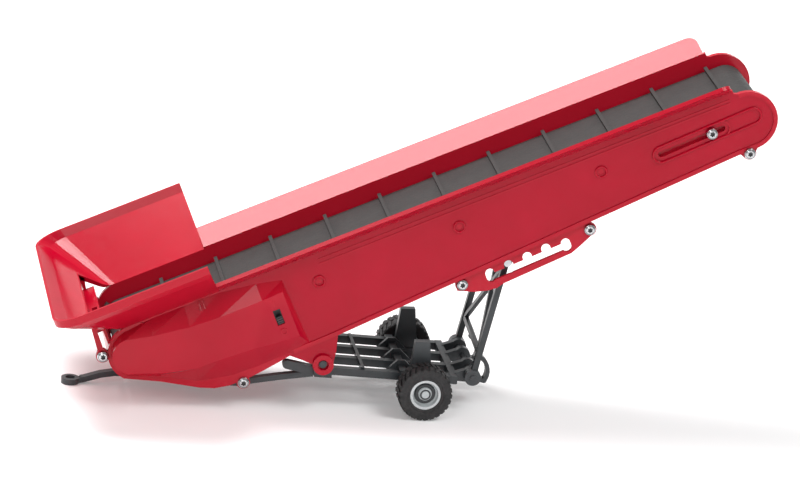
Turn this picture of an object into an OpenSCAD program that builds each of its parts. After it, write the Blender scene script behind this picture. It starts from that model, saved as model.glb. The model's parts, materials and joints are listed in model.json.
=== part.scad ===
/* [Machine] */
// Distance of the wheel axle from the middle of the overall length
axle_x = 10.2; // [9:0.1:11]
// Pitch of the conveyor boom above the ground
boom_pitch = 24.4; // [20:0.1:28]
// Distance of the boom pivot behind the axle line, measured towards the hopper
pivot_back = 43.7; // [40:0.1:47]
// Height of the boom pivot above the ground
pivot_z = 21.7; // [20:0.1:24]

/* [Boom] */
// Inner half width of the belt channel
channel_half = 26; // [26:0.5:28]
// Thickness of the boom side walls
wall = 2; // [2:0.1:2.4]
// Height of the crease between the side wall and the flared edge board
crease_t = 48.3; // [48:0.1:49]
// Width of the flared edge board along its slope
flare_w = 11.6; // [9:0.1:12]
// Slope of the flared edge board
flare_slope = 30; // [28:1:32]
// Thickness of the sheet of the edge boards and hopper walls
sheet = 1.6; // [1.4:0.1:1.8]

/* [Belt] */
// Outer radius of the belt round the tail roller
tail_r = 6.8; // [6.6:0.1:7]
// Outer radius of the belt round the head roller
head_r = 8; // [7.8:0.1:8.4]
// Belt thickness
belt_th = 1.1; // [1:0.1:1.2]
// Half width of the belt
belt_half = 24.4; // [23:0.1:24.4]
// Number of cleats round the belt
cleats = 24; // [12:1:24]
// Height of each cleat
cleat_h = 2; // [1.5:0.1:2]

/* [Wheels] */
// Tyre radius
tyre_r = 11.5; // [11:0.1:12]
// Track measured over the outer faces of the tyres
track_w = 70.8; // [70:0.2:74]
// Tyre width
tyre_w = 10.6; // [10:0.1:10.8]

/* [Hitch] */
// Radius of the hole in the hitch eye
eye_hole_r = 2.05; // [1.8:0.05:2.2]
// Outer radius of the hitch eye
eye_r = 3.8; // [3.6:0.1:4.2]
// Thickness of the hitch eye
eye_th = 2.5; // [2:0.1:3]

/* [Hidden] */
$fn = 48;

red = [0.72, 0.04, 0.1];
dark = [0.2, 0.21, 0.23];
rubber = [0.12, 0.12, 0.13];
belt_grey = [0.29, 0.28, 0.28];
zinc = [0.75, 0.76, 0.78];
nylon = [0.86, 0.85, 0.8];
black = [0.05, 0.05, 0.05];

web_out = channel_half + wall;

// End rollers of the belt, in the boom's own plane: along the boom, and up from the pivot line
belt_top = 41;
tail_c = [-72.3, belt_top - tail_r];
head_c = [204.2, belt_top - head_r];
run = head_c[0] - tail_c[0];
return_tilt = 2 * asin((head_r - tail_r) / norm(head_c - tail_c));
roller_gap = belt_th + 0.3;

// Boom side wall outline
tail_arc_c = [-70.3, 34.8];
tail_arc_r = 12.6;
head_arc_c = [202.8, 33];
head_arc_r = 12.8;
tail_under = [[-66.2, 19.3], [-51.7, 10.2], [-45.9, 7.5], [-40, 6.3], [-31, 6.3], [-25, 6.9], [-16.5, 8.1]];
low_edge = [[-9.5, 9.3], [9.5, 9.8], [195, 20.2]];
bead = 1.9;
bead_up = 0.5;
lug_r = 4.5;
pin_r = 1.6;

// Screw places in the boom's plane
screw_tail = [-33.9, 5.4];
screw_nose = [-84.3, 39.1];
screw_head_end = [199, 19.2];
screw_rack = [[66.7, 10], [125, 12.4]];
slot_a = [163.8, 33];
slot_b = [191.6, 33.9];
slot_end = slot_a + (slot_b - slot_a) * 1.5;
screw_tension = slot_a + (slot_b - slot_a) * 0.824;
peg_places = [[11.1, 35.4], [74, 35.4], [137.6, 35.4]];

// Hopper
hopper_s = -29.5;
hopper_top = 69.3;
hopper_mid = 65.8;
hopper_foot = 47.4;

// Gear train between the walls of the gear cover
gear_module = 0.5;
z_wheel = 24;
z_pinion = 12;
upper_dir = -10;
lower_dir = -33;
motor_dir = -31.5;
upper_c = polar(tail_c, z_wheel * gear_module, upper_dir);
lower_c = polar(upper_c, z_wheel * gear_module, lower_dir);
motor_c = polar(lower_c, (z_wheel + z_pinion) * gear_module / 2, motor_dir);
gear_y = web_out + 0.3;
gear_w = 1.1;

// Cover over the gears
cover_out = web_out + 4;
cover_wall = 0.9;

// Batteries and switch
cell_r = 5.2;
cell_len = 44.5;
cell_c = [[-32.2, 15.4], [-21.4, 15.4]];
switch_c = [-10, 28.4];

// Notched rack and prop
notch_first = [79.3, 10.2];
notch_pitch = 8.55;
rack_in = channel_half - 1.4;
pin_at = [87.85, 10.7];
hinge_at = [22, 15.2];
hinge_r = 3.9;
bar_y = [-20.7, -6.9, 6.9, 20.7];
bar_half = 1.65;

pin_world = [
  -pivot_back + pin_at[0] * cos(boom_pitch) - pin_at[1] * sin(boom_pitch),
  pivot_z + pin_at[0] * sin(boom_pitch) + pin_at[1] * cos(boom_pitch)
];
prop_len = norm(pin_world - hinge_at);
prop_lean = atan2(pin_world[1] - hinge_at[1], pin_world[0] - hinge_at[0]);

axle_r = 1.2;
eye_x = -146.7;

// ---------- helpers ----------
function polar(c, r, a) = [c[0] + r * cos(a), c[1] + r * sin(a)];
function arc(c, r, a0, a1, n) = [for (i = [0:n]) polar(c, r, a0 + (a1 - a0) * i / n)];
function oval(c, rx, ry, a0, a1, n) =
  [for (i = [0:n]) let (a = a0 + (a1 - a0) * i / n) [c[0] + rx * cos(a), c[1] + ry * sin(a)]];
function flip(v) = [for (i = [len(v) - 1:-1:0]) v[i]];
function unit(v) = v / norm(v);
function left(v) = [-v[1], v[0]];
// Moves every edge of a closed outline to its left by d
function inset(p, d) = [for (i = [0:len(p) - 1])
  let (a = unit(p[i] - p[(i + len(p) - 1) % len(p)]), b = unit(p[(i + 1) % len(p)] - p[i]))
  p[i] + (left(a) + left(b)) * d / (1 + a * b)];

module on_boom() {
  translate([axle_x - pivot_back, 0, pivot_z]) rotate([0, -boom_pitch, 0]) children();
}
module on_axle() { translate([axle_x, 0, 0]) children(); }
module on_prop() {
  translate([axle_x + hinge_at[0], 0, hinge_at[1]]) rotate([0, -prop_lean, 0]) children();
}
// Extrudes a side-view outline from one distance off the centre line to another
module slab(y0, y1) { translate([0, y1, 0]) rotate([90, 0, 0]) linear_extrude(y1 - y0) children(); }
module rod(c, r, y0, y1) { translate([c[0], y1, c[1]]) rotate([90, 0, 0]) cylinder(r = r, h = y1 - y0); }
module near_side() { mirror([0, 1, 0]) children(); }
module both_sides() {
  children();
  near_side() children();
}
module disc(c, r) { translate(c) circle(r); }
function heading(v) = atan2(v[1], v[0]);
// One edge of a strip that follows the open line p, at the distance d to its left
function edge_of(p, d) = [for (i = [0:len(p) - 1])
  let (a = unit(p[max(i, 1)] - p[max(i, 1) - 1]),
       b = unit(p[min(i + 1, len(p) - 1)] - p[min(i, len(p) - 2)]))
  p[i] + (left(a) + left(b)) * d / (1 + a * b)];
function cap(c, r, a) = [for (i = [1:7]) polar(c, r, a + 22.5 * i)];
// Strip of half width r along the open line p of a side view, with round ends
module chain(p, r) {
  n = len(p) - 1;
  polygon(concat(edge_of(p, -r), cap(p[n], r, heading(p[n] - p[n - 1]) - 90),
    flip(edge_of(p, r)), cap(p[0], r, heading(p[1] - p[0]) + 90)));
}
module link(a, b, r) { chain([a, b], r); }
// Triangles that fill a long outline of n points, zipped between its two long sides
function zip(n) = concat(
  [for (i = [0:n]) if (i + 1 < n - 1 - i) [i, i + 1, n - 1 - i]],
  [for (i = [0:n]) if (i + 1 < n - 2 - i) [n - 1 - i, i + 1, n - 2 - i]]);
// Closed shell between two outlines of equal length that lie at two distances off the centre line
module loft(a, ya, b, yb) {
  n = len(a);
  points = concat([for (p = a) [p[0], ya, p[1]]], [for (p = b) [p[0], yb, p[1]]]);
  sides = [for (i = [0:n - 1]) let (j = (i + 1) % n) each [[i, j, n + j], [i, n + j, n + i]]];
  ends = [for (t = zip(n)) each [flip(t), [n + t[0], n + t[1], n + t[2]]]];
  polyhedron(points, concat(ends, sides));
}

// ---------- gears ----------
function inv(rb, r) = r <= rb ? 0 :
  let (a = sqrt(pow(r / rb, 2) - 1)) a * 180 / PI - atan(a);
function gear_points(z, phase) =
  let (rp = z * gear_module / 2, rb = rp * cos(25), ra = rp + 0.8 * gear_module,
       rf = rp - 1.1 * gear_module, play = 7 / z,
       radii = [rf, max(rf, rb), rp, (rp + ra) / 2, ra])
  [for (k = [0:z - 1]) let (mid = phase + 360 * k / z) each concat(
    [for (r = radii) polar([0, 0], r, mid - (90 / z - play + inv(rb, rp) - inv(rb, r)))],
    [for (r = flip(radii)) polar([0, 0], r, mid + (90 / z - play + inv(rb, rp) - inv(rb, r)))])];
// Phase of a gear that meshes with one of phase p1 and z1 teeth lying in direction a
function meshed(p1, z1, z2, a) = a + 180 - (p1 - a) * z1 / z2 + 180 / z2;
module gear(c, z, phase, bore_r) {
  translate([c[0], 0, c[1]]) difference() {
    slab(gear_y, gear_y + gear_w) polygon(gear_points(z, phase));
    rod([0, 0], bore_r, gear_y - 1, gear_y + gear_w + 1);
  }
}
phase_upper = meshed(0, z_wheel, z_wheel, upper_dir);
phase_lower = meshed(phase_upper, z_wheel, z_wheel, lower_dir);
phase_pinion = meshed(phase_lower, z_wheel, z_pinion, motor_dir);

// ---------- chassis ----------
function bar_mid(x) = 14.55 - 0.05 * x;
bar_end = 15;
module main_frame() {
  bar = [[-46.5, bar_mid(-46.5) - bar_half], [bar_end, bar_mid(bar_end) - bar_half],
         [bar_end, bar_mid(bar_end) + bar_half], [-46.5, bar_mid(-46.5) + bar_half]];
  post = [[-6, 8.2], [-5.4, 16], [-4, 30.8], [2.3, 30.8], [4, 16], [4.6, 8.2]];
  color(dark) on_axle() difference() {
    union() {
      for (y = bar_y) slab(y - bar_half, y + bar_half) polygon(bar);
      // cross members: front beam, tie rib, gusseted beam and rear beam
      slab(-22.4, 22.4) polygon([[-46.5, 14.9], [-46.5, 18.4], [-42.3, 18.2], [-42.3, 14.7]]);
      slab(-21, 21) translate([-25.9, 16]) square([1.3, 2.2]);
      slab(-22.4, 22.4) translate([-9.6, 12.6]) square([3.2, 5]);
      for (y = [-13.8, 0, 13.8]) slab(y - 0.8, y + 0.8)
        polygon([[-14, 15], [-9.6, 19.4], [-6.4, 19.4], [-1.5, 14.6], [-1.5, 12.9], [-14, 12.9]]);
      slab(-22.4, 22.4) translate([12.4, 12.3]) square([3, 3.4]);
      // boom rests that also carry the axle
      both_sides() slab(19.05, 22.35) polygon(post);
      both_sides() slab(18.2, 23.2) polygon([[-6, 8.2], [-5.7, 13], [4.3, 13], [4.6, 8.2]]);
      // pivot ears with the forward stop fingers and the pivot pins
      both_sides() slab(19.6, 22.4) stop_finger();
      both_sides() slab(19.6, channel_half - 0.4) pivot_ear();
      both_sides() rod([-pivot_back, pivot_z], pin_r, channel_half - 1, web_out + 0.6);
      // rear hinge barrels
      for (y = [-17.2, -6.9, 6.9, 17.2]) slab(y - 1.4, y + 1.4) {
        disc(hinge_at, hinge_r - 0.5);
        polygon([[bar_end - 1, 12.4], [hinge_at[0], hinge_at[1] - 3.2],
                 [hinge_at[0], hinge_at[1] + 3.2], [bar_end - 1, 15.6]]);
      }
      // curved guard hooks behind the hinge
      both_sides() slab(11, 14.6) {
        polygon(concat(arc(hinge_at, 8.6, -30, 60, 9), arc(hinge_at, 6.8, 60, -30, 9)));
        chain([[bar_end - 0.6, 13.2], [24, 12], hinge_at + [6.6, -4.1]], 0.9);
      }
    }
    rod([0, tyre_r], axle_r + 0.02, -30, 30);
    rod(hinge_at, 1.3, -30, 30);
  }
}
module stop_finger() { chain([[-58, 18.9], [-50, 17.2], [-45, 16.4]], 1.9); }
module pivot_ear() {
  disc([-pivot_back, pivot_z], 4);
  polygon([[-pivot_back - 4, pivot_z], [-46.5, 15], [-39, 14.6], [-pivot_back + 4, pivot_z]]);
}
// One branch of the fork that spreads from the drawbar to the frame: its plan cut to its side view
module arm() {
  intersection() {
    linear_extrude(20) chain([[-97, 0.6], [-86, 13], [-78, 20.6], [-46, 20.6]], 1.5);
    slab(-1, 23) chain([[-98, 5], [-86, 7.6], [-78, 10.2], [-62, 12.9], [-45, 15.3]], 1.25);
  }
}
module drawbar() {
  color(dark) on_axle() difference() {
    union() {
      translate([eye_x, 0, 0]) cylinder(r = eye_r, h = eye_th);
      slab(-1.7, 1.7) chain([[eye_x + 2, 1.25], [-141, 2], [-134, 4.2], [-128, 5.2], [-118, 5.1]], 1.2);
      slab(-2.2, 2.2) chain([[-124, 5.15], [-92, 5.1]], 1.3);
      both_sides() arm();
    }
    translate([eye_x, 0, -1]) cylinder(r = eye_hole_r, h = eye_th + 2);
    translate([eye_x, 0, eye_th]) cylinder(r = eye_r + 0.6, h = 3);
    translate([-46.5, -30, 0]) cube([10, 60, 30]);
    both_sides() slab(19.5, 22.5) {
      stop_finger();
      pivot_ear();
    }
  }
}
module axle_rod() {
  color(zinc) on_axle() rod([0, tyre_r], axle_r, -track_w / 2 + 1.6, track_w / 2 - 1.6);
}
module prop_hinge_rod() { color(black) on_axle() rod(hinge_at, 1.25, -23, 23); }

// ---------- wheels ----------
wheel_in = track_w / 2 - tyre_w;
wheel_out = track_w / 2;
rim_r = 6.5;
module tyre() {
  translate([0, 0, tyre_r]) rotate([-90, 0, 0]) rotate_extrude() polygon([
    [rim_r, wheel_in + 0.5], [8.6, wheel_in], [10.6, wheel_in + 0.5], [tyre_r, wheel_in + 1.5],
    [tyre_r, wheel_out - 1.5], [10.6, wheel_out - 0.5], [8.6, wheel_out], [rim_r, wheel_out - 0.5]]);
}
module rim() {
  translate([0, 0, tyre_r]) rotate([-90, 0, 0]) rotate_extrude() polygon([
    [axle_r + 0.05, wheel_in - 1.2], [3, wheel_in - 1.2], [3, wheel_in + 2.6], [5.6, wheel_in + 2.2],
    [5.6, wheel_in + 0.8], [rim_r, wheel_in + 0.8], [rim_r, wheel_out - 0.7], [5.5, wheel_out - 0.7],
    [5.2, wheel_out - 2.8], [3.4, wheel_out - 3.2], [axle_r + 0.05, wheel_out - 3.2]]);
}
module hub_cap() {
  translate([0, 0, tyre_r]) rotate([-90, 0, 0]) rotate_extrude() polygon([
    [0, wheel_out - 1.5], [0, wheel_out - 0.9], [1.5, wheel_out - 0.9], [1.7, wheel_out - 1.2],
    [2.4, wheel_out - 1.2], [2.7, wheel_out - 1.5], [3.2, wheel_out - 3.2],
    [axle_r + 0.06, wheel_out - 3.2], [axle_r + 0.06, wheel_out - 1.5]]);
}
module tyre_far() { color(rubber) on_axle() tyre(); }
module tyre_near() { color(rubber) on_axle() near_side() tyre(); }
module rim_far() { color(zinc) on_axle() rim(); }
module rim_near() { color(zinc) on_axle() near_side() rim(); }
module hub_cap_far() { color(dark) on_axle() hub_cap(); }
module hub_cap_near() { color(dark) on_axle() near_side() hub_cap(); }

// ---------- prop ----------
// Flat bar of the prop between two places given as distance from the hinge and side offset
module strut(a, b, w, th) {
  translate([a[0], a[1], 0]) rotate([0, 0, atan2(b[1] - a[1], b[0] - a[0])])
    translate([0, -w / 2, -th / 2]) cube([norm(b - a), w, th]);
}
module prop_frame() {
  color(dark) on_prop() difference() {
    union() {
      both_sides() {
        translate([0, 19.5, -1.3]) cube([prop_len, 2.4, 2.6]);
        rod([0, 0], hinge_r - 0.4, 18.9, 22.5);
        rod([prop_len, 0], 2.2, 18.9, 22.5);
      }
      rod([prop_len, 0], 2.2, -5.6, -2.4);
      strut([11, -20], [13, 20], 2, 1.8);
      strut([12, 20], [prop_len - 3, -20], 2, 1.8);
      strut([12, -18.8], [prop_len - 1, -4], 2, 1.8);
    }
    rod([0, 0], 1.3, -30, 30);
    rod([prop_len, 0], pin_r, -30, 30);
  }
}
module prop_pin() { color(zinc) on_prop() rod([prop_len, 0], pin_r, -rack_in + 0.3, rack_in - 0.3); }

// ---------- boom side walls ----------
module panel_outline() {
  polygon(concat(arc(tail_arc_c, tail_arc_r, 90, 222, 14), tail_under, low_edge,
    arc(head_arc_c, head_arc_r, -95, 92, 22), [[200.8, 46.4], [200.8, crease_t - 0.2],
    [hopper_s + 0.5, crease_t - 0.2], [hopper_s + 0.5, hopper_foot]]));
  polygon([[-12.6, 12], [-12.6, 9.8], [-7.8, 5.4], [-4.2, 1.7], [-4.2, -1.6], [4.3, -1.2], [7.2, 3.2],
    [10.4, 9.9], [11.4, 12]]);
  disc([0, 0], lug_r);
  for (c = [screw_tail, screw_nose, screw_head_end]) disc(c, 2.9);
  polygon([[-85.6, 41], [-84.6, 51], [-83.6, 56.8], [-81.6, 54.8], [-82.6, 50], [-83, 41]]);
  polygon([[-82.4, 40], [-82.6, 36.6], [-86, 36.8], [-86.4, 40.5]]);
  polygon([[194, 22], [196.4, 18], [202, 19], [207, 24]]);
}
module edge_bead() {
  outer = concat(low_edge, arc(head_arc_c, head_arc_r, -95, 92, 22));
  inner = concat([for (p = low_edge) p + [0, bead]], arc(head_arc_c, head_arc_r - bead, -95, 92, 22));
  polygon(concat(outer, flip(inner)));
}
module flare() {
  corner = 4.6;
  end_s = 199.8;
  outline = concat([[hopper_s, 0], [end_s, 0]],
    arc([end_s - corner, flare_w - corner], corner, 0, 90, 8), [[hopper_s, flare_w]]);
  translate([0, channel_half, crease_t]) rotate([flare_slope, 0, 0])
    translate([0, 0, -sheet]) linear_extrude(sheet) polygon(outline);
}
module panel() {
  difference() {
    union() {
      slab(channel_half, web_out) panel_outline();
      slab(web_out - 0.1, web_out + bead_up) edge_bead();
      flare();
      // pivot boss, peg rings, slot rim and the long creases
      rod([0, 0], lug_r - 0.1, web_out - 0.1, web_out + 1.6);
      rod(screw_head_end, 2.9, web_out - 0.1, web_out + bead_up);
      for (c = peg_places) difference() {
        rod(c, 2.65, web_out - 0.1, web_out + 0.35);
        rod(c, 1.9, web_out - 1, web_out + 1);
      }
      slab(web_out - 0.1, web_out + 0.6) {
        difference() {
          link(slot_a, slot_end, 3.8);
          link(slot_a, slot_end, 3.1);
        }
        polygon(concat(arc(slot_b, 3.5, -80, 84, 8), arc(slot_b, 2.9, 84, -80, 8)));
      }
      slab(web_out - 0.1, web_out + 0.22) link([14, 44.6], [198, 44.6], 0.35);
      slab(web_out - 0.1, web_out + 0.22) link([14, 42.6], [198, 43.2], 0.35);
    }
    slab(channel_half - 1, web_out + 2) link(slot_a, slot_b, 1.3);
    rod([0, 0], pin_r + 0.05, channel_half - 1, web_out + 2);
    rod([0, 0], 2.3, web_out, web_out + 2);
    rod(tail_c, 1.55, channel_half - 1, web_out + 1);
    for (c = peg_places) rod(c, 1.2, channel_half - 1, web_out + 1);
    for (c = [screw_tail, screw_nose, screw_head_end]) rod(c, 1.15, channel_half - 1, web_out + 1);
  }
}
module side_panel_far() { color(red) on_boom() panel(); }
module side_panel_near() {
  color(red) on_boom() near_side() difference() {
    panel();
    rod(motor_c, 1.6, channel_half - 1, web_out + 1);
    for (c = [upper_c, lower_c]) rod(c, 0.76, channel_half - 1, web_out + 1);
  }
}

// ---------- hopper ----------
// One level line of the hopper wall: far side, round corner, front, round corner, near side
function hopper_row(side, front, rs, ry, t) =
  let (half = concat([[hopper_s, side]], oval([front + rs, side - ry], rs, ry, 90, 180, 7)))
  [for (p = concat(half, [for (q = flip(half)) [q[0], -q[1]]])) [p[0], p[1], t]];
hopper_rows = [
  hopper_row(26.3, -73.6, 3, 3, hopper_foot),
  hopper_row(52.4, -91.6, 8, 7, hopper_mid),
  hopper_row(54.1, -95.8, 11, 9.5, hopper_top),
  hopper_row(55, -96.9, 11.5, 10, hopper_top),
  hopper_row(55, -96.9, 11.5, 10, hopper_mid + 0.2),
  hopper_row(51.4, -92.7, 9, 8, hopper_mid - 2.9),
  hopper_row(28, -75.6, 4, 4, hopper_foot)
];
module hopper_wall() {
  m = len(hopper_rows[0]);
  n = len(hopper_rows);
  points = [for (row = hopper_rows) each row];
  skin = [for (r = [0:n - 1], i = [0:m - 2]) let (a = r * m + i, b = ((r + 1) % n) * m + i)
    each [[a, a + 1, b], [b, a + 1, b + 1]]];
  ends = [for (t = zip(n)) each [m * t, m * flip(t) + [m - 1, m - 1, m - 1]]];
  polyhedron(points, concat(skin, ends));
}
module hopper() {
  color(red) on_boom() {
    difference() {
      hopper_wall();
      translate([-83.4, -channel_half, 40]) cube([30, channel_half * 2, 22]);
    }
    difference() {
      translate([-84.4, -channel_half, 48.8]) cube([5.2, channel_half * 2, 9.2]);
      translate([-83.4, -channel_half - 1, 50]) cube([10, channel_half * 2 + 2, 10]);
      translate([-82.4, -6, 48]) cube([2.2, 7, 4]);
    }
    translate([-80.4, -channel_half, 40.2]) cube([1.2, channel_half * 2, 9]);
    // curved guard in front of the tail roller
    slab(-channel_half, channel_half)
      polygon(concat(arc(tail_c, 10.4, 140, 215, 8), arc(tail_c, 9.3, 215, 140, 8)));
  }
}

// ---------- covers ----------
cover_foot = concat([[-3.3, 42], [-14, 44.5], [-30, 46.8], [-45, 46.9], [-60, 46.9]],
  arc([-70.4, 35], 10.8, 100, 232, 8),
  [[-65.6, 21.8], [-51, 13.2], [-37.1, 10.2], [-25, 9.8], [-14, 10.2], [-1.9, 10.9]]);
cover_face = concat([[-4.8, 38.4], [-14, 38], [-33, 37.9], [-46, 38.6], [-62, 41]],
  arc([-73.4, 35.8], 7.8, 88, 232, 8),
  [[-63, 23.6], [-50, 20.3], [-39.4, 20.1], [-25, 19.2], [-14, 18], [-4.7, 17.2]]);
module cover_shell() {
  difference() {
    loft(cover_foot, web_out, cover_face, cover_out);
    loft(inset(cover_foot, cover_wall + 0.3), web_out - 0.3,
         inset(cover_face, cover_wall), cover_out - cover_wall);
  }
}
module gear_cover() {
  color(red) on_boom() near_side() {
    difference() {
      cover_shell();
      slab(cover_out - 3, cover_out + 1) translate(switch_c - [1.6, 3.5]) square([3.2, 7]);
    }
    // switch marks and locating ticks
    slab(cover_out - 0.1, cover_out + 0.25) {
      translate([-10.3, 33.6]) square([0.6, 2.6]);
      difference() {
        disc([-10, 21.6], 1.5);
        disc([-10, 21.6], 1);
      }
    }
  }
}
module side_cover_far() { color(red) on_boom() cover_shell(); }
module belly_cover() {
  color(red) on_boom() slab(-channel_half, channel_half)
    chain([[-79, 26.8], [-66, 19.9], [-52.4, 12.4], [-47, 11], [-40.8, 10.2]], 0.5);
}
module battery_door() {
  color(red) on_boom() {
    slab(-channel_half, channel_half) link([-39.6, 9.5], [-12, 9.5], 0.6);
    for (y = [-8:4:8]) slab(y - 0.5, y + 0.5) link([-36, 9.1], [-32, 9.1], 0.6);
  }
}
module battery_tray() {
  color(black) on_boom() difference() {
    slab(-channel_half, channel_half) polygon([[-38.4, 10.1], [-15.2, 10.1], [-15.2, 16], [-38.4, 16]]);
    slab(-22.9, 22.9) for (c = cell_c) {
      disc(c, cell_r + 0.15);
      translate(c - [cell_r + 0.15, 0]) square([2 * cell_r + 0.3, 8]);
    }
  }
}
module battery_cells() {
  color([0.7, 0.55, 0.3]) on_boom() for (i = [0, 1]) mirror([0, i, 0]) {
    rod(cell_c[i], cell_r, -cell_len / 2, cell_len / 2 - 1);
    rod(cell_c[i], 1.9, cell_len / 2 - 1.1, cell_len / 2);
  }
}
module battery_contacts() {
  color(zinc) on_boom() both_sides() slab(cell_len / 2, 22.9)
    for (c = cell_c) translate(c - [3.5, 4]) square([7, 4.6]);
}
module switch_housing() {
  color(black) on_boom() near_side() difference() {
    slab(web_out, web_out + 2.3) translate(switch_c - [3.2, 4.9]) square([6.4, 9.8]);
    slab(web_out + 1.2, web_out + 3) translate(switch_c - [0.95, 3.3]) square([1.9, 6.6]);
  }
}
module switch_slider() {
  c = switch_c - [0, 1.6];
  color(black) on_boom() near_side() {
    slab(web_out + 1.4, web_out + 2.4) translate(c - [0.75, 1.5]) square([1.5, 3]);
    slab(web_out + 2.4, cover_out - 0.3) difference() {
      translate(c - [1.3, 1.6]) square([2.6, 3.2]);
      for (k = [-1, 0, 1]) translate(c + [-2, k - 0.15]) square([4, 0.3]);
    }
  }
}
module motor() {
  color(zinc) on_boom() near_side() difference() {
    union() {
      slab(9, 24.6) intersection() {
        disc(motor_c, 4.8);
        translate(motor_c - [5, 4]) square([10, 8]);
      }
      rod(motor_c, 2, 8, 9.1);
      rod(motor_c, 1.5, 24.5, 25.6);
    }
    rod(motor_c, 0.8, 21, 30);
  }
}
module gear_pins() {
  color(zinc) on_boom() near_side() for (c = [upper_c, lower_c]) rod(c, 0.75, 26.2, gear_y + gear_w + 0.1);
}
module cross_tubes() {
  color(red) on_boom() {
    for (c = peg_places) {
      rod(c, 2.2, -channel_half, channel_half);
      rod(c, 1.18, -web_out + 0.1, web_out - 0.1);
    }
    for (c = concat([screw_head_end], screw_rack)) difference() {
      reach = c == screw_head_end ? channel_half : rack_in;
      rod(c, 2.1, -reach, reach);
      rod(c, 1.15, -40, -14);
      rod(c, 1.15, 14, 40);
    }
    both_sides() for (c = [screw_tail, screw_nose]) difference() {
      rod(c, 2.3, channel_half - 2.6, channel_half);
      rod(c, 1.15, channel_half - 5, channel_half + 1);
    }
  }
}
module belt_bed() {
  color(nylon) on_boom() difference() {
    union() {
      translate([-60, -channel_half, 38]) cube([235, channel_half * 2, 1.6]);
      both_sides() translate([-60, 24.8, 30]) cube([205, channel_half - 24.8, 8.1]);
      for (y = [-9, 9]) translate([-60, y - 0.7, 37.8]) cube([235, 1.4, 0.5]);
    }
    for (c = peg_places) rod(c, 2.25, -40, 40);
  }
}

// ---------- notched rack ----------
module rack_outline() {
  polygon([[63.8, 8.1], [70.7, 4.7], [76, 3.2], [80, 2.8], [83, 3.6], [114.4, 5.3], [118, 6.6], [127, 10.4],
           [126.6, 18.6], [64.6, 15.4]]);
  for (c = screw_rack) disc(c, 3);
}
module rack_slot() {
  link([79.3, 8.1], [113.5, 9.3], 1.6);
  for (i = [0:4]) {
    c = notch_first + [i * notch_pitch, i * 0.45 - (i == 4 ? 1.4 : 0)];
    link(c - [0, 2], c, i == 1 ? 2.05 : 2);
  }
}
module rack() {
  difference() {
    slab(rack_in, channel_half - 0.02) difference() {
      rack_outline();
      rack_slot();
    }
    for (c = screw_rack) rod(c, 1.15, rack_in - 1, 40);
  }
}
module notch_rack_far() { color(red) on_boom() rack(); }
module notch_rack_near() { color(red) on_boom() near_side() rack(); }

// ---------- screws ----------
module screw(c, y, shank) {
  translate([c[0], y, c[1]]) rotate([-90, 0, 0]) difference() {
    union() {
      rotate_extrude() polygon([[0, 0], [2.5, 0], [2.5, 0.7], [2.2, 1.2], [1.5, 1.6], [0, 1.75]]);
      translate([0, 0, -shank]) cylinder(r = 1.1, h = shank + 0.1);
    }
    translate([0, 0, 0.7]) cylinder(r = 0.85, h = 3);
    for (k = [0:5]) rotate([0, 0, 60 * k]) translate([0.85, 0, 0.7]) cylinder(r = 0.3, h = 3);
  }
}
module panel_screws() {
  for (c = [screw_tail, screw_nose]) screw(c, web_out, 4);
  screw(screw_head_end, web_out + bead_up, 8);
  for (c = screw_rack) screw(c, channel_half, 7);
}
module panel_screws_far() { color(zinc) on_boom() panel_screws(); }
module panel_screws_near() { color(zinc) on_boom() near_side() panel_screws(); }

// ---------- belt ----------
belt_len = 2 * run + PI / 180 * (tail_r * (180 - return_tilt) + head_r * (180 + return_tilt));
module belt_loop(cut) {
  polygon(concat(arc(tail_c, tail_r - cut, 90, 270 - return_tilt, 20),
                 arc(head_c, head_r - cut, -90 - return_tilt, 90, 20)));
}
// Stands its children on the belt's outer surface, facing away from it at the angle a
module standing(p, a) { translate([p[0], 0, p[1]]) rotate([0, 90 - a, 0]) children(); }
// Moves its children a distance d round the belt from the top of the head roller
module along_belt(d) {
  at_tail = PI / 180 * tail_r * (180 - return_tilt);
  low = polar(tail_c, tail_r, -90 - return_tilt);
  a = d - run;
  b = a - at_tail;
  c = b - run;
  tail_a = 90 + a / tail_r * 180 / PI;
  head_a = -90 - return_tilt + c / head_r * 180 / PI;
  if (a < 0) standing([head_c[0] - d, belt_top], 90) children();
  else if (b < 0) standing(polar(tail_c, tail_r, tail_a), tail_a) children();
  else if (c < 0) standing(polar(low, b, -return_tilt), -90 - return_tilt) children();
  else standing(polar(head_c, head_r, head_a), head_a) children();
}
module belt() {
  color(belt_grey) on_boom() {
    slab(-belt_half, belt_half) difference() {
      belt_loop(0);
      belt_loop(belt_th);
    }
    for (k = [0:cleats - 1]) along_belt(5.8 + k * belt_len / cleats)
      translate([-0.75, -belt_half, -0.4]) cube([1.5, belt_half * 2, cleat_h + 0.4]);
  }
}

// ---------- drive ----------
module roller(c, r) {
  difference() {
    rod(c, r, -belt_half + 0.4, belt_half - 0.4);
    rod(c, 1.5, -40, 40);
    for (k = [0:11]) rod(polar(c, r + 0.4, 30 * k), 0.8, -40, 40);
  }
}
module drive_roller() { color(nylon) on_boom() roller(tail_c, tail_r - roller_gap); }
module drive_shaft() { color(zinc) on_boom() rod(tail_c, 1.5, -gear_y - gear_w, web_out + 0.4); }
module drive_gear() { color(nylon) on_boom() near_side() gear(tail_c, z_wheel, 0, 1.5); }
module upper_idler() { color(nylon) on_boom() near_side() gear(upper_c, z_wheel, phase_upper, 0.8); }
module lower_idler() { color(nylon) on_boom() near_side() gear(lower_c, z_wheel, phase_lower, 0.8); }
module motor_pinion() { color(nylon) on_boom() near_side() gear(motor_c, z_pinion, phase_pinion, 0.75); }
module motor_shaft() { color(zinc) on_boom() near_side() rod(motor_c, 0.75, 21.2, gear_y + gear_w); }

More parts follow.
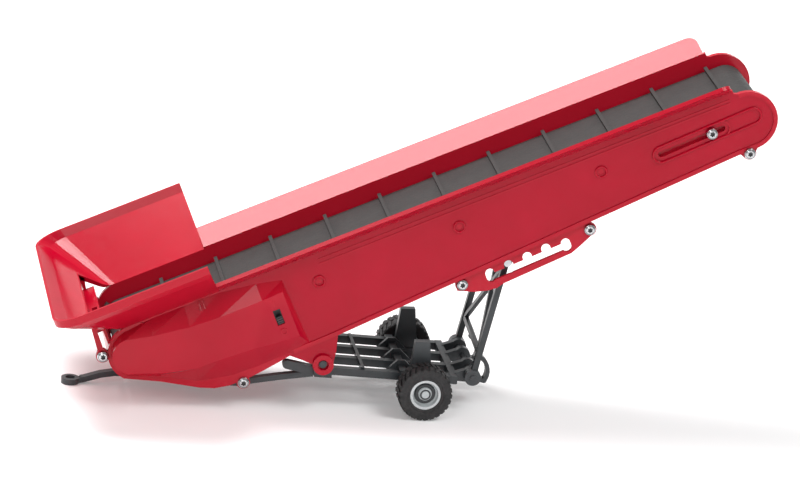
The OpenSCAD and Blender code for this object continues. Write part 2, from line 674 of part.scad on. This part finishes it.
// ---------- belt tensioner ----------
module tension_arm() {
  difference() {
    slab(24.8, channel_half - 0.15) link([161.5, 32.9], head_c, 3);
    rod(head_c, 1.55, 20, 40);
    rod(screw_tension, 1.12, 20, 40);
  }
}
module tension_arm_far() { color(red) on_boom() tension_arm(); }
module tension_arm_near() { color(red) on_boom() near_side() tension_arm(); }
module tension_screws() { color(zinc) on_boom() both_sides() screw(screw_tension, web_out + 0.65, 3.9); }
module head_roller() { color(nylon) on_boom() roller(head_c, head_r - roller_gap); }
module head_shaft() { color(zinc) on_boom() rod(head_c, 1.5, -channel_half + 0.3, channel_half - 0.3); }

main_frame();
drawbar();
axle_rod();
prop_hinge_rod();
tyre_near();
rim_near();
hub_cap_near();
tyre_far();
rim_far();
hub_cap_far();
prop_frame();
prop_pin();
side_panel_near();
side_panel_far();
hopper();
belt_bed();
gear_cover();
side_cover_far();
belly_cover();
battery_door();
battery_tray();
battery_cells();
battery_contacts();
switch_housing();
motor();
gear_pins();
cross_tubes();
notch_rack_near();
notch_rack_far();
panel_screws_near();
panel_screws_far();
belt();
drive_roller();
drive_shaft();
drive_gear();
upper_idler();
lower_idler();
motor_pinion();
motor_shaft();
tension_arm_near();
tension_arm_far();
tension_screws();
head_roller();
head_shaft();
switch_slider();
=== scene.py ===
"""Looks of the toy belt conveyor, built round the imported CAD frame. Lengths are in metres."""

import json
import math

import bmesh
import bpy
from mathutils import Matrix, Vector


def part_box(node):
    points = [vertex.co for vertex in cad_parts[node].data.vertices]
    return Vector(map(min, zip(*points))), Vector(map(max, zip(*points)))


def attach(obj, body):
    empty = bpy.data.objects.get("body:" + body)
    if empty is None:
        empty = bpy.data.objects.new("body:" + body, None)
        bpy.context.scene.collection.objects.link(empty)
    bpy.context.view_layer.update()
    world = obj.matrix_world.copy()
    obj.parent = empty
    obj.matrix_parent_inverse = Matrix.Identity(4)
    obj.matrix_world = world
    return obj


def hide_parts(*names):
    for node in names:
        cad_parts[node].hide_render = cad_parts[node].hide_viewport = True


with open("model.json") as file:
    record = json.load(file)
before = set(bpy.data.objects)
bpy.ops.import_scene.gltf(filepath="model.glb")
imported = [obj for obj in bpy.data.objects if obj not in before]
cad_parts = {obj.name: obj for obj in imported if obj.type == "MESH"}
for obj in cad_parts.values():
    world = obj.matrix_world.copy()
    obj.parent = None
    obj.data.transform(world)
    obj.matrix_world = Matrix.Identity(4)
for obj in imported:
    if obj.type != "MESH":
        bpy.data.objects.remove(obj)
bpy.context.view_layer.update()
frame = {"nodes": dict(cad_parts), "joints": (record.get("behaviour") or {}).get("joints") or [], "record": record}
nodes = frame["nodes"]
joints = {j["name"]: j for j in frame["joints"]}

MM = 0.001
BOOM_PITCH = math.radians(24.4)
PIVOT = Vector(joints["boom_tilt"]["pos_m"])
WHEEL = Vector(joints["near_wheel_spin"]["pos_m"])
AXLE_X = WHEEL.x


def boom(s, y, t):
    """Row-frame point of a place on the boom: s along it, y across, t up from the pivot, in millimetres."""
    along = Vector((math.cos(BOOM_PITCH), 0, math.sin(BOOM_PITCH)))
    up = Vector((-math.sin(BOOM_PITCH), 0, math.cos(BOOM_PITCH)))
    return PIVOT + along * (s * MM) + up * (t * MM) + Vector((0, y * MM, 0))


# ---------- camera ----------
def add_camera():
    """The photograph's view: a long lens from the front left, a little above and turned a few degrees."""
    azimuth, elevation, roll = math.radians(-10.19), math.radians(18.416), math.radians(5.104)
    right = Vector((math.cos(azimuth), math.sin(azimuth), 0))
    ahead = Vector((-math.sin(azimuth) * math.cos(elevation),
                    math.cos(azimuth) * math.cos(elevation), -math.sin(elevation)))
    up = right.cross(ahead)
    side = right * math.cos(roll) + up * math.sin(roll)
    top = up * math.cos(roll) - right * math.sin(roll)
    target = Vector((AXLE_X, 0, 0))
    place = target - side * 0.004648 + top * 0.064958 - ahead * 2.037
    data = bpy.data.cameras.new("camera")
    data.lens = 213.75
    data.sensor_width = 36
    data.clip_end = 20
    camera = bpy.data.objects.new("camera", data)
    axes = Matrix((side, top, -ahead)).transposed().to_4x4()
    camera.matrix_world = Matrix.Translation(place) @ axes
    bpy.context.scene.collection.objects.link(camera)
    bpy.context.scene.camera = camera


# ---------- materials ----------
def new_material(name):
    material = bpy.data.materials.new(name)
    material.use_nodes = True
    tree = material.node_tree
    shader = tree.nodes["Principled BSDF"]
    return material, tree, shader


def noise(tree, scale, detail=4.0, rough=0.55, stretch=None):
    """Noise over the piece's own coordinates; scale is in features per metre."""
    coords = tree.nodes.new("ShaderNodeTexCoord")
    texture = tree.nodes.new("ShaderNodeTexNoise")
    texture.inputs["Scale"].default_value = scale
    texture.inputs["Detail"].default_value = detail
    texture.inputs["Roughness"].default_value = rough
    source = coords.outputs["Object"]
    if stretch:
        mapping = tree.nodes.new("ShaderNodeMapping")
        mapping.inputs["Scale"].default_value = stretch
        mapping.inputs["Rotation"].default_value = (0, BOOM_PITCH, 0)
        tree.links.new(source, mapping.inputs["Vector"])
        source = mapping.outputs["Vector"]
    tree.links.new(source, texture.inputs["Vector"])
    return texture.outputs["Fac"]


def spread(tree, value, low, high, start=0.3, end=0.7):
    """Maps a 0..1 value to a number between low and high."""
    node = tree.nodes.new("ShaderNodeMapRange")
    node.inputs["From Min"].default_value = start
    node.inputs["From Max"].default_value = end
    node.inputs["To Min"].default_value = low
    node.inputs["To Max"].default_value = high
    tree.links.new(value, node.inputs["Value"])
    return node.outputs["Result"]


def two_tone(tree, value, a, b):
    """Blends two colours by a 0..1 value."""
    node = tree.nodes.new("ShaderNodeMix")
    node.data_type = "RGBA"
    node.inputs["A"].default_value = (*a, 1)
    node.inputs["B"].default_value = (*b, 1)
    tree.links.new(value, node.inputs["Factor"])
    return node.outputs["Result"]


def bump(tree, shader, layers):
    """Stacks bump layers; each is (height value, strength, depth in metres)."""
    normal = None
    for height, strength, depth in layers:
        node = tree.nodes.new("ShaderNodeBump")
        node.inputs["Strength"].default_value = strength
        node.inputs["Distance"].default_value = depth
        tree.links.new(height, node.inputs["Height"])
        if normal is not None:
            tree.links.new(normal, node.inputs["Normal"])
        normal = node.outputs["Normal"]
    tree.links.new(normal, shader.inputs["Normal"])


def edge_rub(tree):
    """1 on worn convex edges, 0 elsewhere."""
    geometry = tree.nodes.new("ShaderNodeNewGeometry")
    return spread(tree, geometry.outputs["Pointiness"], 0, 1, 0.53, 0.6)


def moulded(name, base, dark, worn, rough, grain=0.35, sheen_coat=0.0, specular=0.5):
    """Injection-moulded plastic: flow mottling, faint orange peel, scuffs and slightly paler edges."""
    material, tree, shader = new_material(name)
    body = two_tone(tree, spread(tree, noise(tree, 55, 5), 0, 1), base, dark)
    rubbed = tree.nodes.new("ShaderNodeMix")
    rubbed.data_type = "RGBA"
    rubbed.inputs["B"].default_value = (*worn, 1)
    tree.links.new(body, rubbed.inputs["A"])
    tree.links.new(spread(tree, edge_rub(tree), 0, 0.35, 0, 1), rubbed.inputs["Factor"])
    tree.links.new(rubbed.outputs["Result"], shader.inputs["Base Color"])
    scuffs = spread(tree, noise(tree, 420, 6, 0.7), rough * 0.85, rough * 1.25)
    tree.links.new(scuffs, shader.inputs["Roughness"])
    shader.inputs["Coat Weight"].default_value = sheen_coat
    shader.inputs["Coat Roughness"].default_value = 0.12
    shader.inputs["IOR"].default_value = 1.5
    shader.inputs["Specular IOR Level"].default_value = specular
    bump(tree, shader, [(noise(tree, 190, 2), grain, 0.00004), (noise(tree, 2600, 3), grain * 0.6, 0.00001)])
    return material


def metal(name, base, rough, stretch=(60, 900, 60)):
    material, tree, shader = new_material(name)
    brushed = noise(tree, 14, 6, 0.7, stretch)
    shade = tuple(c * 0.72 for c in base)
    colour = two_tone(tree, spread(tree, noise(tree, 300, 4), 0, 1), base, shade)
    tree.links.new(colour, shader.inputs["Base Color"])
    tree.links.new(spread(tree, brushed, rough * 0.8, rough * 1.5), shader.inputs["Roughness"])
    shader.inputs["Metallic"].default_value = 1.0
    bump(tree, shader, [(brushed, 0.25, 0.00001)])
    return material


def belt_rubber():
    """Fabric-backed rubber: woven print and dusty mottling."""
    material, tree, shader = new_material("belt_rubber")
    dust = spread(tree, noise(tree, 120, 6, 0.65), 0, 1)
    colour = two_tone(tree, dust, (0.015, 0.014, 0.0135), (0.024, 0.022, 0.021))
    tree.links.new(colour, shader.inputs["Base Color"])
    tree.links.new(spread(tree, noise(tree, 600, 4), 0.5, 0.7), shader.inputs["Roughness"])
    coords = tree.nodes.new("ShaderNodeTexCoord")
    mapping = tree.nodes.new("ShaderNodeMapping")
    mapping.inputs["Rotation"].default_value = (0, BOOM_PITCH, 0)
    tree.links.new(coords.outputs["Object"], mapping.inputs["Vector"])
    layers = [(noise(tree, 1500, 5, 0.7), 0.5, 0.00004)]
    for axis in ("X", "Y"):
        wave = tree.nodes.new("ShaderNodeTexWave")
        wave.bands_direction = axis
        wave.inputs["Scale"].default_value = 420
        wave.inputs["Distortion"].default_value = 0.6
        tree.links.new(mapping.outputs["Vector"], wave.inputs["Vector"])
        layers.append((wave.outputs["Fac"], 0.35, 0.00003))
    bump(tree, shader, layers)
    return material


def tyre_rubber():
    material, tree, shader = new_material("tyre_rubber")
    dust = spread(tree, noise(tree, 260, 6, 0.7), 0, 1, 0.4, 0.75)
    colour = two_tone(tree, dust, (0.012, 0.0115, 0.0125), (0.03, 0.028, 0.028))
    tree.links.new(colour, shader.inputs["Base Color"])
    tree.links.new(spread(tree, noise(tree, 900, 4), 0.55, 0.8), shader.inputs["Roughness"])
    bump(tree, shader, [(noise(tree, 1200, 5, 0.7), 0.6, 0.00005), (noise(tree, 300, 2), 0.3, 0.0001)])
    return material


materials = {
    "red_shell": moulded("red_shell", (0.385, 0.0008, 0.0165), (0.34, 0.0006, 0.013),
                         (0.55, 0.02, 0.035), 0.13, 0.14, 0.0, 0.2),
    "dark_frame": moulded("dark_frame", (0.027, 0.032, 0.036), (0.017, 0.02, 0.022),
                          (0.07, 0.075, 0.08), 0.36),
    "silver_rim": moulded("silver_rim", (0.5, 0.53, 0.54), (0.38, 0.41, 0.42),
                          (0.75, 0.77, 0.78), 0.28, 0.3, 0.3),
    "nylon": moulded("nylon", (0.74, 0.72, 0.64), (0.62, 0.6, 0.52), (0.8, 0.79, 0.74), 0.45),
    "black_plastic": moulded("black_plastic", (0.012, 0.012, 0.013), (0.02, 0.02, 0.021),
                             (0.06, 0.06, 0.06), 0.4),
    "cell_jacket": moulded("cell_jacket", (0.45, 0.27, 0.05), (0.3, 0.17, 0.03), (0.6, 0.5, 0.3), 0.3),
    "screw_steel": metal("screw_steel", (0.56, 0.565, 0.58), 0.18),
    "rod_steel": metal("rod_steel", (0.6, 0.61, 0.63), 0.3),
    "contact_brass": metal("contact_brass", (0.85, 0.63, 0.28), 0.3),
    "belt_rubber": belt_rubber(),
    "tyre_rubber": tyre_rubber(),
}
slot_of = {p["node"]: p["material_slot"] for p in frame["record"]["subparts"]}


def paint(obj, slot):
    obj.data.materials.clear()
    obj.data.materials.append(materials[slot])


# ---------- carried-over CAD nodes ----------
BEVELS = {"hopper": 0.35, "side_panel_near": 0.22, "side_panel_far": 0.22, "gear_cover": 0.3,
          "side_cover_far": 0.3, "main_frame": 0.3, "drawbar": 0.35, "prop_frame": 0.3, "belt": 0.25,
          "rim_near": 0.2, "rim_far": 0.2, "hub_cap_near": 0.15, "hub_cap_far": 0.15,
          "notch_rack_near": 0.2, "notch_rack_far": 0.2, "panel_screws_near": 0.12,
          "panel_screws_far": 0.12, "tension_screws": 0.12, "battery_door": 0.2, "belly_cover": 0.2}


def dress_nodes():
    """Gives every CAD node its material, small moulded edges and smooth round faces."""
    for name, obj in nodes.items():
        paint(obj, slot_of[name])
        width = BEVELS.get(name)
        if width:
            rounder = obj.modifiers.new("edges", "BEVEL")
            rounder.width = width * MM
            rounder.segments = 3
            rounder.limit_method = "ANGLE"
            rounder.angle_limit = math.radians(32)
            rounder.use_clamp_overlap = True
            rounder.harden_normals = False
        bpy.context.view_layer.objects.active = obj
        obj.select_set(True)
        bpy.ops.object.shade_smooth_by_angle(angle=math.radians(32))
        obj.select_set(False)


# ---------- added pieces ----------
def piece(name, mesh, slot, body, bevel=0.0):
    obj = bpy.data.objects.new(name, mesh)
    bpy.context.scene.collection.objects.link(obj)
    paint(obj, slot)
    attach(obj, body)
    if bevel:
        rounder = obj.modifiers.new("edges", "BEVEL")
        rounder.width = bevel * MM
        rounder.segments = 2
        rounder.limit_method = "ANGLE"
        rounder.angle_limit = math.radians(35)
    return obj


def mesh_from(build):
    """A mesh filled in by a function that is given an empty bmesh."""
    made = bmesh.new()
    build(made)
    bmesh.ops.recalc_face_normals(made, faces=made.faces)
    mesh = bpy.data.meshes.new("mesh")
    made.to_mesh(mesh)
    made.free()
    return mesh


def prism(made, corners, shift):
    """Closed solid between a loop of corners and the same loop moved by shift."""
    low = [made.verts.new(c) for c in corners]
    high = [made.verts.new(Vector(c) + Vector(shift)) for c in corners]
    made.faces.new(low)
    made.faces.new(list(reversed(high)))
    for i in range(len(low)):
        j = (i + 1) % len(low)
        made.faces.new((low[i], high[i], high[j], low[j]))


def lathe(made, profile, steps, centre, side):
    """Turns a profile of (radius, distance off the middle) pairs, in millimetres, about the wheel's axle."""
    rings = []
    for k in range(steps):
        angle = 2 * math.pi * k / steps
        rings.append([made.verts.new((centre.x + r * MM * math.cos(angle), side * y * MM,
                                      centre.z + r * MM * math.sin(angle))) for r, y in profile])
    for k in range(steps):
        a, b = rings[k], rings[(k + 1) % steps]
        for i in range(len(profile)):
            j = (i + 1) % len(profile)
            made.faces.new((a[i], a[j], b[j], b[i]))


TYRE_IN, TYRE_OUT = (corner.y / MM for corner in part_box("tyre_far"))
RIM_R = 6.5
TREAD_R = 11.5
LUGS = 26


def tyre_mesh(side):
    """Tyre with ringed side walls carried right out to square shoulders, and short lugs across the tread."""
    middle = (TYRE_IN + TYRE_OUT) / 2
    half = (TYRE_OUT - TYRE_IN) / 2
    wall = [(RIM_R, 0.6), (6.9, 0.14), (7.5, 0.1), (7.62, 0.24), (7.78, 0.24), (7.9, 0.05), (8.9, 0.02),
            (9.0, 0.12), (9.1, 0.02), (10.2, 0.1), (10.32, 0.22), (10.44, 0.14), (10.95, 0.42), (11.02, 1.0)]
    profile = [(r, TYRE_IN + depth) for r, depth in wall] + [(10.95, middle)]
    profile += [(r, TYRE_OUT - depth) for r, depth in reversed(wall)]

    def lug(made, start, half_side):
        inner, outer = [], []
        for share, top in ((0.06, TREAD_R), (0.45, TREAD_R), (0.86, TREAD_R), (0.985, 10.9)):
            y = side * (middle + half_side * share * half) * MM
            lean = share * 6
            for a in (start + lean - 4.3, start + lean + 4.3):
                ring = Vector((math.cos(math.radians(a)), 0, math.sin(math.radians(a))))
                low = WHEEL + ring * ((10.0 if share > 0.9 else 10.7) * MM)
                high = WHEEL + ring * (top * MM)
                inner.append(made.verts.new((low.x, y, low.z)))
                outer.append(made.verts.new((high.x, y, high.z)))
        for i in (0, 2, 4):
            made.faces.new((outer[i], outer[i + 1], outer[i + 3], outer[i + 2]))
            made.faces.new((inner[i], inner[i + 2], inner[i + 3], inner[i + 1]))
            made.faces.new((inner[i], outer[i], outer[i + 2], inner[i + 2]))
            made.faces.new((inner[i + 1], inner[i + 3], outer[i + 3], outer[i + 1]))
        made.faces.new((inner[0], inner[1], outer[1], outer[0]))
        made.faces.new((inner[6], outer[6], outer[7], inner[7]))

    def build(made):
        lathe(made, profile, 96, WHEEL, side)
        for k in range(LUGS):
            lug(made, 360 / LUGS * k, -1)
            lug(made, 360 / LUGS * (k + 0.5), 1)

    return mesh_from(build)


def add_tyres():
    for end, side in (("near", -1), ("far", 1)):
        tyre = piece(f"tyre_tread_{end}", tyre_mesh(side), "tyre_rubber", f"{end}_wheel", 0.12)
        smooth(tyre, 40)
        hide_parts(f"tyre_{end}")


def smooth(obj, degrees):
    bpy.context.view_layer.objects.active = obj
    obj.select_set(True)
    bpy.ops.object.shade_smooth_by_angle(angle=math.radians(degrees))
    obj.select_set(False)


def turned(name, profile, side, body):
    """Dark ring of painted shade turned from a profile of (radius, depth behind the tyre's outer face)."""
    rings = [(r, TYRE_OUT - depth) for r, depth in profile]
    # The dark_frame colour on these rings is painted shade in the wheel's recesses.
    ring = piece(name, mesh_from(lambda made: lathe(made, rings, 64, WHEEL, side)), "dark_frame", body)
    smooth(ring, 35)


def add_wheel_recess_shade():
    """Painted shade: a dark disc sunk behind each hub where the rim's recess is shaded, and a dark ring in the
    groove round the hub's nose.
    """
    for end, side in (("near", -1), ("far", 1)):
        # Dark disc of painted shade in the rim's shaded recess.
        turned(f"wheel_recess_shade_{end}", [(2.9, 3.3), (2.9, 2.3), (3.5, 2.1), (4.1, 2.2), (4.4, 2.9), (4.8, 3.0),
                                     (4.8, 3.3)], side, f"{end}_wheel")
        # Dark ring of painted shade in the groove round the hub's nose.
        groove_shade = [(1.62, 1.3), (1.62, 1.05), (1.85, 1.0), (2.15, 1.0), (2.3, 1.1), (2.3, 1.3)]
        turned(f"hub_groove_shade_{end}", groove_shade, side, f"{end}_wheel")


def ring_on_boom(made, centre, side, profile, steps=36):
    """Ring turned from (radius, distance off the middle) pairs about a place (s, t) on the boom's side."""
    rings = []
    for k in range(steps):
        angle = 2 * math.pi * k / steps
        rings.append([made.verts.new(boom(centre[0] + r * math.cos(angle), side * y,
                                          centre[1] + r * math.sin(angle))) for r, y in profile])
    for k in range(steps):
        a, b = rings[k], rings[(k + 1) % steps]
        for i in range(len(profile)):
            j = (i + 1) % len(profile)
            made.faces.new((a[i], a[j], b[j], b[i]))


def rounded(radius, seat, half, height):
    """Rounded bead profile at a radius, standing height above its seat."""
    return [(radius - half, seat - 0.1),
            (radius - half, seat + height * 0.4),
            (radius - half * 0.6, seat + height * 0.85),
            (radius, seat + height),
            (radius + half * 0.6, seat + height * 0.85),
            (radius + half, seat + height * 0.4),
            (radius + half, seat - 0.1)]


# Places (s, t) on the boom's side; a screw also has its seat's distance off the middle.
WEB_OUT = 28.0
PEGS = [(11.1, 35.4), (74, 35.4), (137.6, 35.4)]
SCREWS = [(-33.9, 5.4, 28.0), (-84.3, 39.1, 28.0), (199, 19.2, 28.5), (66.7, 10, 26.0), (125, 12.4, 26.0)]
TENSION_SCREW = (186.71, 33.74, 28.65)


def painted_socket_shade(made, screw, side):
    """Painted shade for one screw: a six-lobed black floor in its socket and a black ring in the groove round its
    head.
    """
    s, t, seat = screw
    corners = []
    for k in range(24):
        angle = 2 * math.pi * k / 24
        r = 0.98 + 0.16 * math.cos(6 * angle)
        corners.append(boom(s + r * math.cos(angle), side * (seat + 0.65), t + r * math.sin(angle)))
    prism(made, corners, (0, side * 0.35 * MM, 0))
    # Black ring of painted shade in the groove round the screw head.
    groove_shade = [(1.86, seat + 1.1), (1.86, seat + 1.44), (2.02, seat + 1.36), (2.02, seat + 1.1)]
    ring_on_boom(made, (s, t), side, groove_shade)


def add_socket_shading():
    for end, side in (("near", -1), ("far", 1)):
        def panel(made, side=side):
            for screw in SCREWS:
                painted_socket_shade(made, screw, side)
        # Black pieces of painted shade in the screw sockets and head grooves.
        piece(f"screw_socket_shade_{end}", mesh_from(panel), "black_plastic", "boom")
        piece(f"tension_socket_shade_{end}", mesh_from(lambda made: painted_socket_shade(made, TENSION_SCREW, side)),
              "black_plastic", "tensioner")


def add_peg_rings():
    """Rounded moulded rings round the panel pegs on both walls."""
    def build(made):
        for side in (-1, 1):
            for peg in PEGS:
                ring_on_boom(made, peg, side, rounded(2.3, WEB_OUT + 0.3, 0.42, 0.4))
    smooth(piece("peg_rings", mesh_from(build), "red_shell", "boom"), 60)


def bead_along(made, path, side, half, height, seat):
    """Rounded bead along a closed run of (s, t) places on the boom's side."""
    count = len(path)
    rows = []
    for k in range(count):
        before, after = Vector(path[k - 1]), Vector(path[(k + 1) % count])
        along = (after - before).normalized()
        across = Vector((-along.y, along.x))
        row = []
        for off, y in rounded(0, seat, half, height):
            place = boom(path[k][0] + across.x * off, side * y, path[k][1] + across.y * off)
            row.append(made.verts.new(place))
        rows.append(row)
    for k in range(count):
        a, b = rows[k], rows[(k + 1) % count]
        for i in range(len(a)):
            j = (i + 1) % len(a)
            made.faces.new((a[i], a[j], b[j], b[i]))


def round_ended(a, b, radius, steps=10):
    """Closed outline that keeps one distance from the line between two (s, t) places."""
    heading = math.atan2(b[1] - a[1], b[0] - a[0])
    path = []
    for centre, turn in ((b, -math.pi / 2), (a, math.pi / 2)):
        for k in range(steps + 1):
            angle = heading + turn + math.pi * k / steps
            path.append((centre[0] + radius * math.cos(angle), centre[1] + radius * math.sin(angle)))
    return path


def add_slot_rims():
    """Rounded rim of the tension slot's field on both walls."""
    def build(made):
        for side in (-1, 1):
            path = round_ended((163.8, 33), (205.5, 34.35), 3.45)
            bead_along(made, path, side, 0.42, 0.42, WEB_OUT + 0.5)
    smooth(piece("slot_rims", mesh_from(build), "red_shell", "boom"), 60)


def add_cover_ribs():
    """Locating ribs that run down the sloping top of the gear cover."""
    def build(made):
        for s, low in ((-39.1, 43.2), (-37.4, 43.2), (-64, 44.4)):
            edge = s - 0.25
            drop = (46.9 - low) * 0.47
            corners = [boom(edge, -28.1, 47.4), boom(edge, -28.1, 46.2),
                       boom(edge, -27.9 - drop, low), boom(edge, -28.7 - drop, low)]
            prism(made, corners, boom(0.5, 0, 0) - boom(0, 0, 0))
    piece("cover_ribs", mesh_from(build), "red_shell", "boom", 0.08)


# ---------- stage ----------
def area_light(name, place, target, width, height, power, tint=(1, 1, 1)):
    data = bpy.data.lights.new(name, "AREA")
    data.shape = "RECTANGLE"
    data.size, data.size_y = width, height
    data.energy = power
    data.color = tint
    light = bpy.data.objects.new(name, data)
    light.matrix_world = Matrix.Translation(place) @ (
        (Vector(target) - Vector(place)).to_track_quat("-Z", "Y").to_matrix().to_4x4())
    bpy.context.scene.collection.objects.link(light)


def add_stage():
    def build(made):
        size = 6
        made.faces.new([made.verts.new((x * size, y * size, -0.0001)) for x, y in
                        ((-1, -1), (1, -1), (1, 1), (-1, 1))])
    floor = bpy.data.objects.new("floor", mesh_from(build))
    bpy.context.scene.collection.objects.link(floor)
    material, tree, shader = new_material("floor")
    colour = two_tone(tree, spread(tree, noise(tree, 3), 0, 1), (0.86, 0.86, 0.86), (0.84, 0.84, 0.845))
    tree.links.new(colour, shader.inputs["Base Color"])
    shader.inputs["Roughness"].default_value = 0.6
    shader.inputs["Emission Color"].default_value = (1, 1, 1, 1)
    shader.inputs["Emission Strength"].default_value = 0.15
    floor.data.materials.append(material)
    world = bpy.data.worlds.new("studio")
    bpy.context.scene.world = world
    world.use_nodes = True
    background = world.node_tree.nodes["Background"]
    background.inputs["Color"].default_value = (1, 1, 1, 1)
    background.inputs["Strength"].default_value = 0.5
    bpy.context.scene.view_settings.view_transform = "Standard"
    centre = Vector((0, 0, 0.07))
    area_light("overhead", (-0.68, 0.56, 1.8), (-0.1, 0.1, 0.05), 1.0, 0.8, 48)
    area_light("right_overhead", (1.1, -0.9, 1.9), (0.1, 0, 0), 1.0, 1.0, 24)
    area_light("backdrop", (0.4, 2.6, 0.25), centre, 3.2, 0.6, 10)
    area_light("front_fill", (-0.9, -1.5, 1.3), centre, 0.9, 0.7, 8)


add_camera()
dress_nodes()
add_tyres()
add_wheel_recess_shade()
add_cover_ribs()
add_socket_shading()
add_peg_rings()
add_slot_rims()
add_stage()
